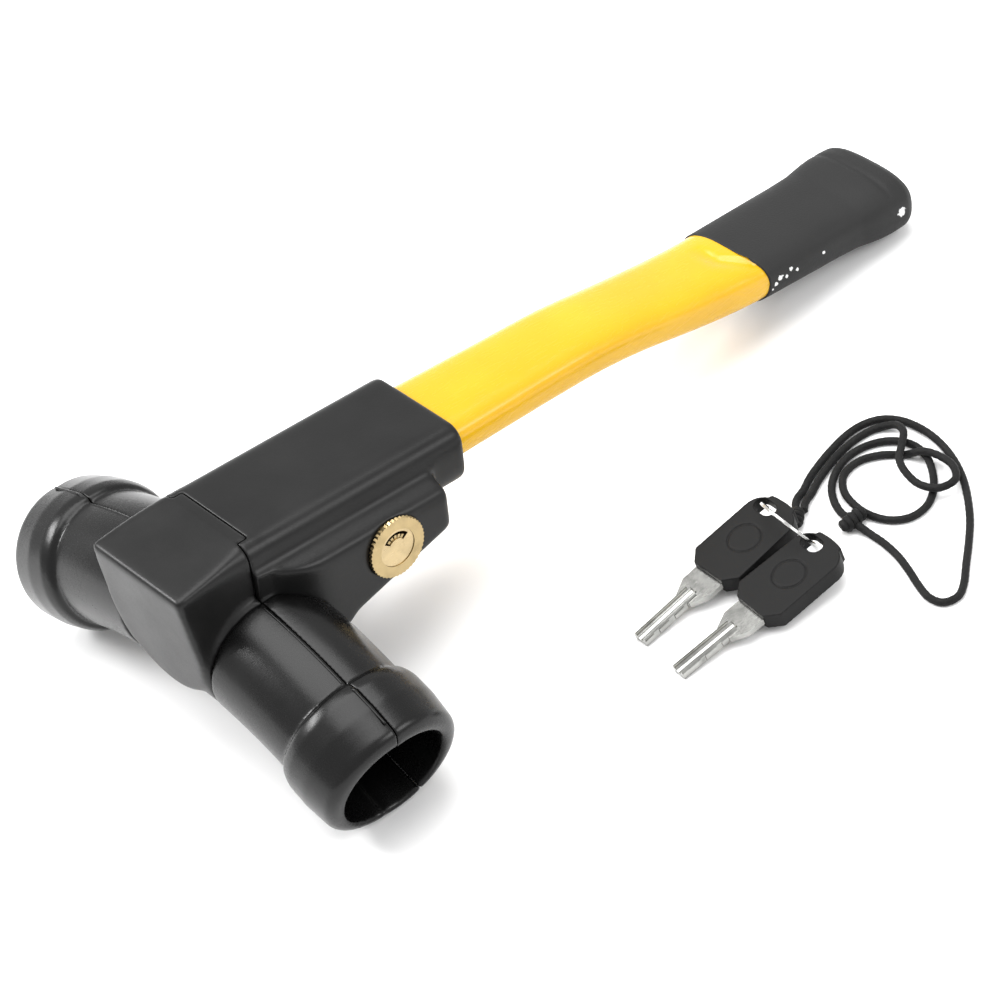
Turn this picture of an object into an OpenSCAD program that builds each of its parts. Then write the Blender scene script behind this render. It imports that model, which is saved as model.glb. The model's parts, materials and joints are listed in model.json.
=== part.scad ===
// T-headed clamp lock for a steering wheel.
// The two arms of the head close round the wheel's rim, and the long handle
// lies across the dashboard and stops the wheel from turning.
//
// Lock frame: +X along the rim, +Y along the handle, +Z out of the flat deck,
// with its origin at the centre of the rim channel. The finished lock is then
// laid down on its two arm ends and its grip, which tips it about X.

/* [Rim channel] */
// Radius of the steering wheel's rim circle, which the arms follow
rim_arc_r = 190; // [180:1:200]
// Radius of the open channel inside the arms
channel_r = 18; // [17:0.5:18.5]
// Radius of the rim that the two rubber pads grip
grip_bore_r = 16; // [15:0.5:16.5]
// Length of each rubber pad along the rim
pad_len = 40; // [30:1:44]

/* [Arms] */
// Outer radius of the half tubes
tube_r = 22.5; // [22:0.5:23]
// Outer radius of the flared ends
flare_r = 25.6; // [25:0.2:26.4]
// Angle along the rim arc where the flare begins
flare_angle = 19.2; // [18:0.2:21.4]
// Angle along the rim arc where an arm ends
end_angle = 27.2; // [26:0.2:27.4]
// Place of the rear half's tube centre along Y
rear_centre_y = 1; // [0:0.5:2]
// Gap between the jaw and the body when closed
part_gap = 0.3; // [0.2:0.05:0.5]

/* [Head] */
// Width of the flat deck
deck_w = 48; // [46:1:50]
// Height of the deck above the rim channel's centre
deck_z = 40; // [39:0.5:42]
// Rounding of the deck's long edges
deck_round = 6.5; // [5:0.5:8]
// Y of the jaw's front face at its top edge
face_y = -33; // [-36:0.5:-32]
// Height of the jaw's front top edge
face_top_z = 34; // [33:0.5:36]
// How far the front face leans back over its height
face_lean = 8.5; // [6:0.5:9]
// Y of the open end of the handle sleeve
sleeve_end_y = 88; // [84:1:92]
// Distance of the lock housing's side face from the middle
housing_x = 33.5; // [32:0.5:35]
// Y of the lock housing's back
housing_end_y = 72.5; // [70:0.5:75]

/* [Jaw slide] */
// Radius of the slide rods
rod_r = 4.5; // [4:0.5:5]
// Distance of each rod from the middle
rod_x = 10; // [9.5:0.5:11]
// Height of the rods
rod_z = 27.5; // [27:0.5:28.5]

/* [Lock] */
// Y of the key cylinder's axis
lock_y = 48; // [46:0.5:50]
// Height of the key cylinder's axis
lock_z = 18; // [17:0.5:18.5]
// Radius of the serrated brass flange
flange_r = 11.3; // [11:0.1:12]
// Radius of the turning plug
plug_r = 7; // [6.5:0.1:7.2]
// Throw of the cam pin from the plug's axis
cam_throw = 3.2; // [3:0.1:3.4]

/* [Handle] */
// Width of the handle where it leaves the sleeve
handle_w = 39; // [37:0.5:40]
// Thickness of the handle where it leaves the sleeve
handle_t = 17; // [16:0.5:18]
// Height of the handle's middle in the sleeve
handle_z = 29.2; // [28.8:0.1:29.6]
// Y where the yellow handle meets the rubber grip
grip_start_y = 226; // [215:1:235]
// Y of the grip's butt end
grip_end_y = 302.5; // [298:0.5:315]
// Height of the grip's middle
grip_z = 22; // [21:0.5:23]

/* [Keys] */
// Length of a key from its tip to the far edge of its head
key_len = 69; // [66:1:72]
// Width of a key head
key_head_w = 22.5; // [22:0.5:24]
// Thickness of a key head
key_head_t = 6.5; // [6:0.5:7]
// Diameter of the lanyard
cord_d = 2.8; // [2.4:0.1:3]

/* [Hidden] */
$fn = 64;
eps = 0.01;

// How far the lock is tipped when it rests on its arm ends and its grip
lie_angle = 9.98;
floor_z = -41.5;

// Parting plane between the jaw and the body
part_y = -3;
front_face_y = part_y - part_gap / 2;
rear_face_y = part_y + part_gap / 2;
// The centre stretch of tube belongs to the jaw block and the body
root_angle = 7.4;

// Chambers inside the body
cavity_x = 17;
cavity_y0 = 14.5;
cavity_y1 = 58;
cavity_z0 = 21.5;
cavity_z1 = 34.5;
keel_z = -4;
keel_w = 46.6;
bolt_y = 46;
bolt_w = 11;
bolt_x0 = 6.2;
bolt_x1 = 13.8;
slide_clear = 0.3;
run_clear = 0.05;
rod_back_y = 53;
// The cam pin stands at 45 degrees below the plug's axis when the bolt is down
pin_y = lock_y - cam_throw * sqrt(0.5);
pin_z = lock_z - cam_throw * sqrt(0.5);
pin_r = 1.4;

// Helpers ------------------------------------------------------------------

// Points on an arc about [cx, cy], from angle a to angle b
function arc(cx, cy, r, a, b, n = 8) =
    [for (i = [0:n]) [cx + r * cos(a + (b - a) * i / n), cy + r * sin(a + (b - a) * i / n)]];

// Extrudes an XZ outline along Y
module along_y(y0, y1) {
    translate([0, y1, 0]) rotate([90, 0, 0]) linear_extrude(y1 - y0) children();
}

// Extrudes a YZ outline along X
module along_x(x0, x1) {
    translate([x0, 0, 0]) rotate([90, 0, 90]) linear_extrude(x1 - x0) children();
}

// A cylinder along X
module rod_along_x(x0, x1, y, z, r) {
    translate([x0, y, z]) rotate([0, 90, 0]) cylinder(r = r, h = x1 - x0);
}

// A cylinder along Y
module rod_along_y(y0, y1, x, z, r) {
    translate([x, y1, z]) rotate([90, 0, 0]) cylinder(r = r, h = y1 - y0);
}

// Sweeps a section (outward from the rim arc, along Y) round the rim arc
module arc_sweep(a0, a1) {
    translate([0, 0, -rim_arc_r])
        rotate([-90, 0, 0])
            rotate([0, 0, -90 + a0])
                rotate_extrude(angle = a1 - a0, $fn = 180)
                    translate([rim_arc_r, 0]) children();
}

// Section of the front half tube's outside, and of the rear half's
module front_section(r) {
    intersection() {
        translate([0, front_face_y]) circle(r = r);
        translate([-2 * r, front_face_y - 4 * r]) square([4 * r, 4 * r]);
    }
}

module rear_section(r) {
    intersection() {
        translate([0, rear_centre_y]) circle(r = r);
        translate([-2 * r, rear_face_y]) square([4 * r, 4 * r]);
    }
}

// How far each tube runs on inside its flare, in degrees
tube_overrun = 2;

// Below the channel a lip on the front half of each arm reaches under the rim, up
// to a slanted cut, so the rear half is the shorter one there
seat_gap = 0.02;
under_slope = 0.84;
under_gap = 0.1;
under_start = 0.2;
under_reach = 60;

module rear_arm_section(r) {
    intersection() {
        translate([0, rear_centre_y]) circle(r = r);
        polygon([
            [0, rear_face_y], [under_reach, rear_face_y], [under_reach, under_reach],
            [-under_reach, under_reach], [-under_reach, rear_face_y + under_reach * under_slope]]);
    }
}

// Outline of the lip's share of the section: u runs down from the middle
under_outline = [
    [2, front_face_y + seat_gap], [2, front_face_y - under_gap + 2 * under_slope],
    [under_reach, front_face_y - under_gap + under_reach * under_slope],
    [under_reach, front_face_y + seat_gap]];

module under_section(r) {
    intersection() {
        translate([0, rear_centre_y]) circle(r = r);
        mirror([1, 0]) polygon(under_outline);
    }
}

// The open channel is a round trough in each half, about that half's own centre
module trough(front, r = channel_r) {
    translate([0, front ? front_face_y : rear_centre_y]) circle(r = r);
}

module channel(front) {
    arc_sweep(-32, 32) trough(front);
}

// Lays the lock down on its arm ends and its grip
module laid() {
    rotate([-lie_angle, 0, 0]) children();
}

// Arms ---------------------------------------------------------------------

// Profile of a flared end: radius against distance along the arm
flare_len = rim_arc_r * (end_angle - flare_angle) * PI / 180;
lip_r = 4.2;
flare_profile = concat(
    [[channel_r - 1, 0], [tube_r - 0.6, 0]],
    [[tube_r + 0.4, 0.2], [tube_r + 1.6, 1]],
    [[flare_r - 0.9, 2.4], [flare_r - 0.2, 5], [flare_r, flare_len * 0.5]],
    arc(flare_r - lip_r - 0.8, flare_len - lip_r, lip_r, 12, 90, 6),
    arc(channel_r + 1.6, flare_len - 1.6, 1.6, 100, 180, 3),
    [[channel_r - 1, flare_len - 4]]);

// Puts a flare's axis, drawn along +Z, on the tangent at the end of the tube
module at_flare() {
    translate([rim_arc_r * sin(flare_angle), 0, rim_arc_r * (cos(flare_angle) - 1)])
        rotate([0, 90 + flare_angle, 0]) children();
}

module rear_flare() {
    translate([0, rear_centre_y, 0]) rotate_extrude() polygon(flare_profile);
}

module front_arm() {
    difference() {
        union() {
            arc_sweep(root_angle, flare_angle + tube_overrun) front_section(tube_r);
            at_flare() translate([0, front_face_y, 0]) rotate([0, 0, 180])
                rotate_extrude(angle = 180) polygon(flare_profile);
        }
        channel(true);
    }
}

module arm_lip() {
    difference() {
        union() {
            arc_sweep(root_angle + under_start, flare_angle + tube_overrun) under_section(tube_r);
            at_flare() intersection() {
                rear_flare();
                translate([0, 0, -5]) linear_extrude(flare_len + 10) polygon(under_outline);
            }
        }
        channel(false);
    }
}

module rear_arm() {
    difference() {
        union() {
            arc_sweep(root_angle, flare_angle + tube_overrun) rear_arm_section(tube_r);
            at_flare() intersection() {
                rear_flare();
                translate([0, 0, -5]) linear_extrude(flare_len + 10) polygon([
                    [0, rear_face_y], [-under_reach, rear_face_y], [-under_reach, under_reach],
                    [under_reach, under_reach],
                    [under_reach, rear_face_y + under_reach * under_slope]]);
            }
        }
        channel(false);
    }
}

module front_arm_right() {
    color("#202022") laid() front_arm();
}

module front_arm_left() {
    color("#202022") laid() mirror([1, 0, 0]) front_arm();
}

module arm_lip_right() {
    color("#202022") laid() arm_lip();
}

module arm_lip_left() {
    color("#202022") laid() mirror([1, 0, 0]) arm_lip();
}

module rear_arm_right() {
    color("#202022") laid() difference() {
        rear_arm();
        body_outer();
    }
}

module rear_arm_left() {
    color("#202022") laid() mirror([1, 0, 0]) rear_arm();
}

// Jaw ----------------------------------------------------------------------

// Shield outline of the jaw's front: flat top, bulged sides and a round bottom
shield_r = 25;
shield_z = 9;
shield_outline = concat(
    arc(0, shield_z, shield_r, -180, 0, 24),
    arc(deck_w / 2 - deck_round, deck_z - deck_round, deck_round, 0, 90, 8),
    arc(-deck_w / 2 + deck_round, deck_z - deck_round, deck_round, 90, 180, 8));

// Tongue of the deck that reaches over the parting line
tongue_w = 35;
tongue_y = 1.2;
deck_t = 3.4;

module jaw_outer() {
    intersection() {
        along_y(face_y - 1, front_face_y) polygon(shield_outline);
        along_x(-40, 40) polygon([
            [face_y, face_top_z], [face_y + 1, face_top_z + 0.9], [front_face_y, deck_z],
            [front_face_y, -20], [face_y + face_lean + 0.4, -20],
            [face_y + face_lean, shield_z - shield_r + 1]]);
    }
}

module jaw_block() {
    color("#262628") laid() difference() {
        union() {
            jaw_outer();
            arc_sweep(-root_angle, root_angle) front_section(tube_r);
            translate([-tongue_w / 2, front_face_y - eps, deck_z - deck_t])
                cube([tongue_w, tongue_y - front_face_y, deck_t]);
        }
        channel(true);
        for (side = [-1, 1]) {
            rod_along_y(face_y + 6, 0, side * rod_x, rod_z, rod_r);
            translate([side * rod_x, face_y + 13, 14]) cylinder(r = 2, h = 18);
        }
    }
}

module rod_pins() {
    color("silver") laid() for (side = [-1, 1])
        translate([side * rod_x, face_y + 13, 14]) cylinder(r = 2, h = 18);
}

module slide_rod(side) {
    difference() {
        rod_along_y(face_y + 6, rod_back_y, side * rod_x, rod_z, rod_r);
        translate([side * rod_x, face_y + 13, 14]) cylinder(r = 2, h = 18);
        rod_along_y(rod_back_y - tie_screw_reach - 0.4, rod_back_y + 1, side * rod_x, rod_z, 2);
        if (side > 0)
            translate([0, bolt_y - 3.8, rod_z - rod_r - 1]) cube([30, 7.6, 5.3]);
    }
}

module slide_rod_left() {
    color("silver") laid() slide_rod(-1);
}

module slide_rod_right() {
    color("silver") laid() slide_rod(1);
}

tie_y1 = rod_back_y + 3.5;
tie_half_w = 14.2;
tie_screw_reach = 2.6;

module tie_plate() {
    color("silver") laid() difference() {
        translate([-tie_half_w, rod_back_y, 23]) cube([2 * tie_half_w, tie_y1 - rod_back_y, 10.5]);
        for (side = [-1, 1])
            rod_along_y(rod_back_y - 1, tie_y1 + 1, side * rod_x, rod_z, 2);
    }
}

module tie_screws() {
    color("dimgray") laid() for (side = [-1, 1]) {
        rod_along_y(rod_back_y - tie_screw_reach, tie_y1, side * rod_x, rod_z, 2);
        difference() {
            rod_along_y(tie_y1, tie_y1 + 1.2, side * rod_x, rod_z, 3.5);
            rod_along_y(tie_y1 + 0.4, tie_y1 + 2, side * rod_x, rod_z, 1.5, $fn = 6);
        }
    }
}

// A rubber pad: round outside to suit the channel, straight bore for the rim
pad_angle = asin(pad_len / 2 / rim_arc_r);

module rim_pad(front) {
    difference() {
        intersection() {
            arc_sweep(-pad_angle - 1, pad_angle + 1) intersection() {
                trough(front, channel_r - run_clear);
                if (front)
                    translate([-40, front_face_y - 80]) square([80, 80]);
                else
                    translate([-40, rear_face_y]) square([80, 80]);
            }
            translate([-pad_len / 2, -50, -50]) cube([pad_len, 100, 100]);
        }
        rod_along_x(-pad_len, pad_len, 0, 0, grip_bore_r);
    }
}

module rim_pad_front() {
    color("#151515") laid() rim_pad(true);
}

module rim_pad_rear() {
    color("#151515") laid() rim_pad(false);
}

// Body ---------------------------------------------------------------------

sleeve_z = handle_z - handle_t / 2 - 4;

// Deck and sleeve in section, with round corners
module sleeve_section() {
    polygon(concat(
        arc(deck_w / 2 - deck_round, deck_z - deck_round, deck_round, 0, 90),
        arc(-deck_w / 2 + deck_round, deck_z - deck_round, deck_round, 90, 180),
        arc(-deck_w / 2 + 7.5, sleeve_z + 7.5, 7.5, 180, 270),
        arc(deck_w / 2 - 7.5, sleeve_z + 7.5, 7.5, 270, 360)));
}

// Lock housing in section: a hollow sweeps out from the deck's edge to the side face
module housing_section() {
    polygon(concat(
        [[0, keel_z], [0, deck_z - deck_round - 1], [deck_w / 2 - 0.5, deck_z - deck_round]],
        arc(deck_w / 2 + 4, deck_z - deck_round + 0.5, 4, 184, 250),
        arc(housing_x - 4, 25, 4, 72, 0, 5),
        [[housing_x, keel_z]]));
}

module housing() {
    intersection() {
        along_y(rear_face_y, housing_end_y) housing_section();
        along_x(-1, 40) polygon(concat(
            [[rear_face_y, keel_z], [26, keel_z], [31, 0]],
            arc(housing_end_y - 2.5, 14.2, 2.5, -75, 0, 4),
            [[housing_end_y, 36], [rear_face_y, 36]]));
        linear_extrude(200, center = true) polygon(concat(
            [[-1, rear_face_y], [deck_w / 2 + 2.5, rear_face_y]],
            arc(housing_x - 30, 22, 30, -38, 0, 6),
            [[housing_x, housing_end_y], [-1, housing_end_y]]));
    }
}

module body_outer() {
    along_y(rear_face_y, sleeve_end_y) sleeve_section();
    along_x(-keel_w / 2, keel_w / 2) polygon([
        [rear_face_y, deck_z - 10], [rear_face_y, keel_z], [56, keel_z],
        [73, sleeve_z + 8], [73, deck_z - 10]]);
    housing();
    arc_sweep(-root_angle, root_angle) rear_section(tube_r);
}

module handle_pocket(clear) {
    w = handle_w / 2 + clear;
    t = handle_t / 2 + clear;
    r = t - 1;
    along_y(62, sleeve_end_y + 1) polygon(concat(
        arc(w - r, handle_z + t - r, r, 0, 90), arc(r - w, handle_z + t - r, r, 90, 180),
        arc(r - w, handle_z - t + r, r, 180, 270), arc(w - r, handle_z - t + r, r, 270, 360)));
}

screw_ys = [69, 81];

module body_shell() {
    color("#242426") laid() difference() {
        body_outer();
        channel(false);
        // Seat of the jaw's deck tongue
        translate([-tongue_w / 2 - part_gap, rear_face_y - 1, deck_z - deck_t - part_gap])
            cube([tongue_w + 2 * part_gap, tongue_y + part_gap + 1 - rear_face_y, 10]);
        // Bores of the rod bushes, and the chamber that the tie plate runs in
        for (side = [-1, 1])
            rod_along_y(rear_face_y - 1, cavity_y0 + 1, side * rod_x, rod_z, bush_r);
        translate([-cavity_x, cavity_y0, cavity_z0])
            cube([2 * cavity_x, cavity_y1 - cavity_y0, cavity_z1 - cavity_z0]);
        // Shaft of the locking bolt, closed by its cap
        translate([bolt_x0 - slide_clear, bolt_y - bolt_w / 2 - slide_clear, 0])
            cube([bolt_x1 - bolt_x0 + 2 * slide_clear, bolt_w + 2 * slide_clear, 30]);
        translate([rod_x, bolt_y, keel_z - 1]) cylinder(r = cap_r, h = 1 - keel_z + eps);
        // Seats of the key cylinder and its cam
        rod_along_x(18.5, 40, lock_y, lock_z, barrel_r);
        rod_along_x(bolt_x1 - 1, 19, lock_y, lock_z, cam_r + 0.5);
        translate([27, lock_y, -10]) cylinder(r = 2, h = 11 + lock_z - barrel_r);
        handle_pocket(0.3);
        for (y = screw_ys) {
            translate([0, y, sleeve_z - 10]) cylinder(r = 4, h = 12.5);
            translate([0, y, sleeve_z]) cylinder(r = 2.5, h = 10);
        }
    }
}

bush_r = 6;

module rod_bushes() {
    color("#b08d57") laid() for (side = [-1, 1]) difference() {
        rod_along_y(rear_face_y, cavity_y0, side * rod_x, rod_z, bush_r);
        rod_along_y(rear_face_y - 1, cavity_y0 + 1, side * rod_x, rod_z, rod_r + run_clear);
    }
}

// Lock ---------------------------------------------------------------------

barrel_r = 9.5;
cam_r = 6;
cap_r = 7.6;
flange_x = housing_x + 1.4;
plug_x0 = 18.7;
teeth = 44;

module lock_barrel() {
    color("#e3c27e") laid() difference() {
        union() {
            rod_along_x(18.5, housing_x, lock_y, lock_z, barrel_r);
            translate([housing_x, lock_y, lock_z]) rotate([0, 90, 0])
                linear_extrude(flange_x - housing_x) polygon([for (i = [0:2 * teeth - 1])
                    (flange_r - (i % 2) * 0.45)
                        * [cos(180 * i / teeth), sin(180 * i / teeth)]]);
        }
        rod_along_x(18, 40, lock_y, lock_z, plug_r + run_clear);
        translate([27, lock_y, lock_z - barrel_r - 1]) cylinder(r = 2, h = 2);
    }
}

module barrel_screw() {
    color("dimgray") laid() difference() {
        translate([27, lock_y, 6.6]) cylinder(r = 2, h = lock_z - barrel_r + 1 - 6.6);
        translate([27, lock_y, 6]) cylinder(r = 1, h = 2.4, $fn = 6);
    }
}

// The crescent keyway runs round the upper half of the plug
module keyway(x0, x1) {
    along_x(x0, x1) translate([lock_y, lock_z]) polygon(concat(
        arc(0, 0, 6.1, 36, 144, 12), arc(0, 0, 3.4, 144, 36, 12)));
}

wafer_angles = [50, 70, 90, 110, 130];

module wafer(angle) {
    translate([0, lock_y, lock_z]) rotate([angle - 90, 0, 0])
        translate([21, -0.5, 2.7]) cube([13.2, 1, 2.1]);
}

module lock_plug() {
    color("#dcb979") laid() difference() {
        rod_along_x(plug_x0, flange_x - 0.3, lock_y, lock_z, plug_r);
        keyway(20, 40);
        for (angle = wafer_angles) wafer(angle);
    }
}

module lock_wafers() {
    color("#c9a865") laid() for (angle = wafer_angles) wafer(angle);
}

module plug_cam() {
    color("silver") laid() {
        rod_along_x(bolt_x1 + 0.9, plug_x0, lock_y, lock_z, cam_r);
        rod_along_x(bolt_x1 - 2.2, bolt_x1 + 0.9, pin_y, pin_z, pin_r);
    }
}

bolt_foot_z = 4.5;
bolt_shoulder_z = 18.4;
bolt_top_z = 22.5;
spring_top_z = 10.5;

module locking_bolt() {
    color("silver") laid() difference() {
        union() {
            translate([bolt_x0, bolt_y - bolt_w / 2, bolt_foot_z])
                cube([bolt_x1 - bolt_x0, bolt_w, bolt_shoulder_z - bolt_foot_z]);
            translate([bolt_x0 + 0.3, bolt_y - 3.5, bolt_shoulder_z - eps])
                cube([7, 7, bolt_top_z - bolt_shoulder_z]);
        }
        translate([bolt_x1 - 2.5, bolt_y - bolt_w / 2 + 1, pin_z - pin_r - 0.25])
            cube([5, bolt_w, 2 * pin_r + 0.5]);
        translate([rod_x, bolt_y, bolt_foot_z - 1])
            cylinder(r = 2.9, h = spring_top_z - bolt_foot_z + 1);
    }
}

module bolt_cap() {
    color("dimgray") laid() difference() {
        translate([rod_x, bolt_y, keel_z]) cylinder(r = cap_r, h = -keel_z);
        translate([rod_x - 5, bolt_y - 0.8, keel_z - 1]) cube([10, 1.6, 2.2]);
    }
}

spring_r = 2.2;
wire_r = 0.35;
spring_turns = 5;

// A round wire swept along a list of centres, with a ring of points at each
function ring_points(c, side, up, r, n) =
    [for (k = [0:n - 1]) c + r * cos(360 * k / n) * side + r * sin(360 * k / n) * up];
function tube_faces(rings, n) = concat(
    [[for (k = [0:n - 1]) k]],
    [for (i = [0:rings - 2], k = [0:n - 1])
        [i * n + k, (i + 1) * n + k, (i + 1) * n + (k + 1) % n, i * n + (k + 1) % n]],
    [[for (k = [n - 1:-1:0]) (rings - 1) * n + k]]);

module bolt_spring() {
    steps = spring_turns * 12;
    rise = spring_top_z - 2 * wire_r;
    color("silver") laid() translate([rod_x, bolt_y, wire_r]) polyhedron(
        [for (i = [0:steps], p = ring_points(
            [spring_r * cos(30 * i), spring_r * sin(30 * i), rise * i / steps],
            [cos(30 * i), sin(30 * i), 0], [0, 0, 1], wire_r, 6)) p],
        tube_faces(steps + 1, 6));
}

// Handle -------------------------------------------------------------------

// The handle's middle drops gently between the sleeve and the grip
drop_y0 = 145;
drop_y1 = 228;
function ease(t) = t <= 0 ? 0 : t >= 1 ? 1 : t * t * (3 - 2 * t);
function middle_z(y) = handle_z + (grip_z - handle_z) * ease((y - drop_y0) / (drop_y1 - drop_y0));
function handle_half_w(y) = lookup(y, [
    [0, handle_w / 2], [88, handle_w / 2], [130, 18.2], [175, 17.6], [grip_start_y, 19.2]]);
function handle_half_t(y) = lookup(y, [
    [0, handle_t / 2], [88, handle_t / 2], [175, 8.3], [grip_start_y, 9.2]]);
// The grip swells to a pommel and rounds off at its butt
function grip_half_w(y) = lookup(y, [
    [grip_start_y, 19.8], [255, 20.3], [274, 20.4], [283, 21.8], [290, 22.4],
    [grip_end_y - 5, 22.2], [grip_end_y - 2, 20.8], [grip_end_y, 17.5]]);
function grip_half_t(y) = lookup(y, [
    [grip_start_y, 9.6], [255, 9.9], [274, 10.2], [283, 11.6], [290, 12.2],
    [grip_end_y - 5, 11.8], [grip_end_y - 2, 10.2], [grip_end_y, 7]]);

// A superellipse of half sizes a and b in the XZ plane
function loop_point(y, a, b, q, k) = [
    a * sign(cos(q)) * pow(abs(cos(q)), 2 / k), y,
    middle_z(y) + b * sign(sin(q)) * pow(abs(sin(q)), 2 / k)];
loop_n = 32;
function loop_at(y, a, b, k) = [for (i = [0:loop_n - 1]) loop_point(y, a, b, -360 * i / loop_n, k)];

handle_ys = concat([63, 88], [for (y = [94:7:grip_start_y - 6]) y], [grip_start_y]);
grip_ys = concat([grip_start_y + 0.05], [for (y = [236:10:276]) y],
    [280, 284, 288, 292, grip_end_y - 5, grip_end_y - 2, grip_end_y]);

core_y0 = 63;
core_y1 = 288;

// The flat steel bar inside the handle follows its slight drop
module core_bar_solid(clear) {
    lean = atan((handle_z - grip_z) / 220);
    translate([0, core_y0, handle_z + 0.6]) rotate([-lean, 0, 0])
        translate([-10 - clear, -clear, -3 - clear])
            cube([20 + 2 * clear, core_y1 - core_y0 + 2 * clear, 6 + 2 * clear]);
}

// The handle's tail inside the grip
module tail_solid(clear) {
    translate([-14 - clear, grip_start_y - 1, grip_z - 6 - clear])
        cube([28 + 2 * clear, 75 + clear, 12 + 2 * clear]);
}

module screw_solid(y) {
    translate([0, y, sleeve_z]) cylinder(r = 2.5, h = 13.5);
    translate([0, y, sleeve_z]) cylinder(r = 4, h = 2.5);
}

module handle_shell() {
    color("#f5cf1c") laid() difference() {
        union() {
            polyhedron(
                [for (y = handle_ys, p = loop_at(y, handle_half_w(y), handle_half_t(y), 2.9)) p],
                tube_faces(len(handle_ys), loop_n));
            tail_solid(0);
        }
        core_bar_solid(0.05);
        for (y = screw_ys) translate([0, y, 10]) cylinder(r = 2.5, h = 22);
    }
}

module core_bar() {
    color("silver") laid() difference() {
        core_bar_solid(0);
        for (y = screw_ys) translate([0, y, 10]) cylinder(r = 2.5, h = sleeve_z + 3.5);
    }
}

module handle_screws() {
    color("dimgray") laid() for (y = screw_ys) difference() {
        screw_solid(y);
        translate([0, y, sleeve_z - 1]) cylinder(r = 1.6, h = 2.6, $fn = 6);
    }
}

module rubber_grip() {
    color("#2a2a2c") laid() difference() {
        polyhedron(
            [for (y = grip_ys, p = loop_at(y, grip_half_w(y), grip_half_t(y), 2.9)) p],
            tube_faces(len(grip_ys), loop_n));
        tail_solid(0.05);
    }
}

// Keys and lanyard, on the floor beside the lock --------------------------

// Each key: place of its tip, and its turn from the +Y direction
key_1_tip = [90.5, 97];
key_1_turn = -1.8;
key_2_tip = [111.8, 94.5];
key_2_turn = -5.5;
// The ring holds the heads up off the floor, and the tips rest on it
key_pitch = 6.6;
blade_z = 1.6;
slot_x = -4;
slot_y = 63.5;
slot_r = 2.8;
slot_reach = 1.7;
ring_r = 11.8;
ring_wire_r = 0.75;
ring_pitch = 62;
ring_turn = -6;
ring_centre = [101.2, 159, floor_z + 11.3];

module key_place(tip, turn) {
    translate([tip.x, tip.y, floor_z + blade_z])
        rotate([0, 0, turn]) rotate([key_pitch, 0, 0]) children();
}

// Outline of a key head, from the blade to its rounded far edge
head_outline = concat(
    [[-7, 32.5], [7, 32.5], [key_head_w / 2, 37]],
    arc(key_head_w / 2 - 7.5, key_len - 8.5, 7, 0, 70, 8),
    arc(0, key_len - 28, 28, 78, 102, 6),
    arc(7.5 - key_head_w / 2, key_len - 8.5, 7, 110, 180, 8),
    [[-key_head_w / 2, 37]]);

slot_end_x = slot_reach + slot_r;
emblem_y = 50;
tang_t = 2.2;

module key_head() {
    difference() {
        translate([0, 0, -key_head_t / 2]) linear_extrude(key_head_t) polygon(head_outline);
        // Shallow round groove on the face
        translate([0, emblem_y, key_head_t / 2 - 0.5]) difference() {
            cylinder(r = 6.2, h = 1);
            cylinder(r = 5.6, h = 1);
        }
        // Slot for the ring, and the relief under its far wall
        translate([slot_x - slot_reach, slot_y - slot_r, -10]) cube([2 * slot_reach, 2 * slot_r, 20]);
        for (side = [-1, 1])
            translate([slot_x + side * slot_reach, slot_y, -10]) cylinder(r = slot_r, h = 20);
        translate([slot_x - slot_end_x, slot_y - slot_r, -10.5]) cube([2 * slot_end_x, 20, 10]);
        // Socket of the blade's tang
        translate([-4, 30, -tang_t / 2]) cube([8, 14, tang_t]);
    }
}

// A half-round channel blade with side cuts, and a wide shoulder at the head
module key_blade() {
    difference() {
        union() {
            translate([0, 24, 0]) rotate([90, 0, 0]) cylinder(r = 3.1, h = 24);
            linear_extrude(tang_t, center = true) polygon([
                [-3.4, 20], [3.4, 20], [6.6, 26], [6.6, 32.4], [-6.6, 32.4], [-6.6, 26]]);
            translate([-4, 32, -tang_t / 2]) cube([8, 12, tang_t]);
        }
        translate([-10, -1, -10 - 1.4]) cube([20, 60, 10]);
        translate([0, 25, 2.2]) rotate([90, 0, 0]) cylinder(r = 2.1, h = 30);
        for (cut = [[-1, 4, 2.4], [1, 8, 2], [-1, 11, 2.6], [1, 15, 2.2], [-1, 18, 1.6]])
            translate([cut[0] * 3.4 - 0.7, cut[1], -5]) cube([1.4, cut[2], 10]);
    }
}

module key_1_head() {
    color("#1d1d1f") key_place(key_1_tip, key_1_turn) key_head();
}

module key_1_blade() {
    color("silver") key_place(key_1_tip, key_1_turn) mirror([1, 0, 0]) key_blade();
}

module key_2_head() {
    color("#1d1d1f") key_place(key_2_tip, key_2_turn) key_head();
}

module key_2_blade() {
    color("silver") key_place(key_2_tip, key_2_turn) key_blade();
}

// The ring leans through both slots
module ring_solid(wire_r) {
    translate(ring_centre) rotate([0, 0, ring_turn]) rotate([-ring_pitch, 0, 0])
        rotate_extrude() translate([ring_r, 0]) circle(r = wire_r, $fn = 24);
}

module key_ring() {
    color("silver") ring_solid(ring_wire_r);
}

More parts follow.
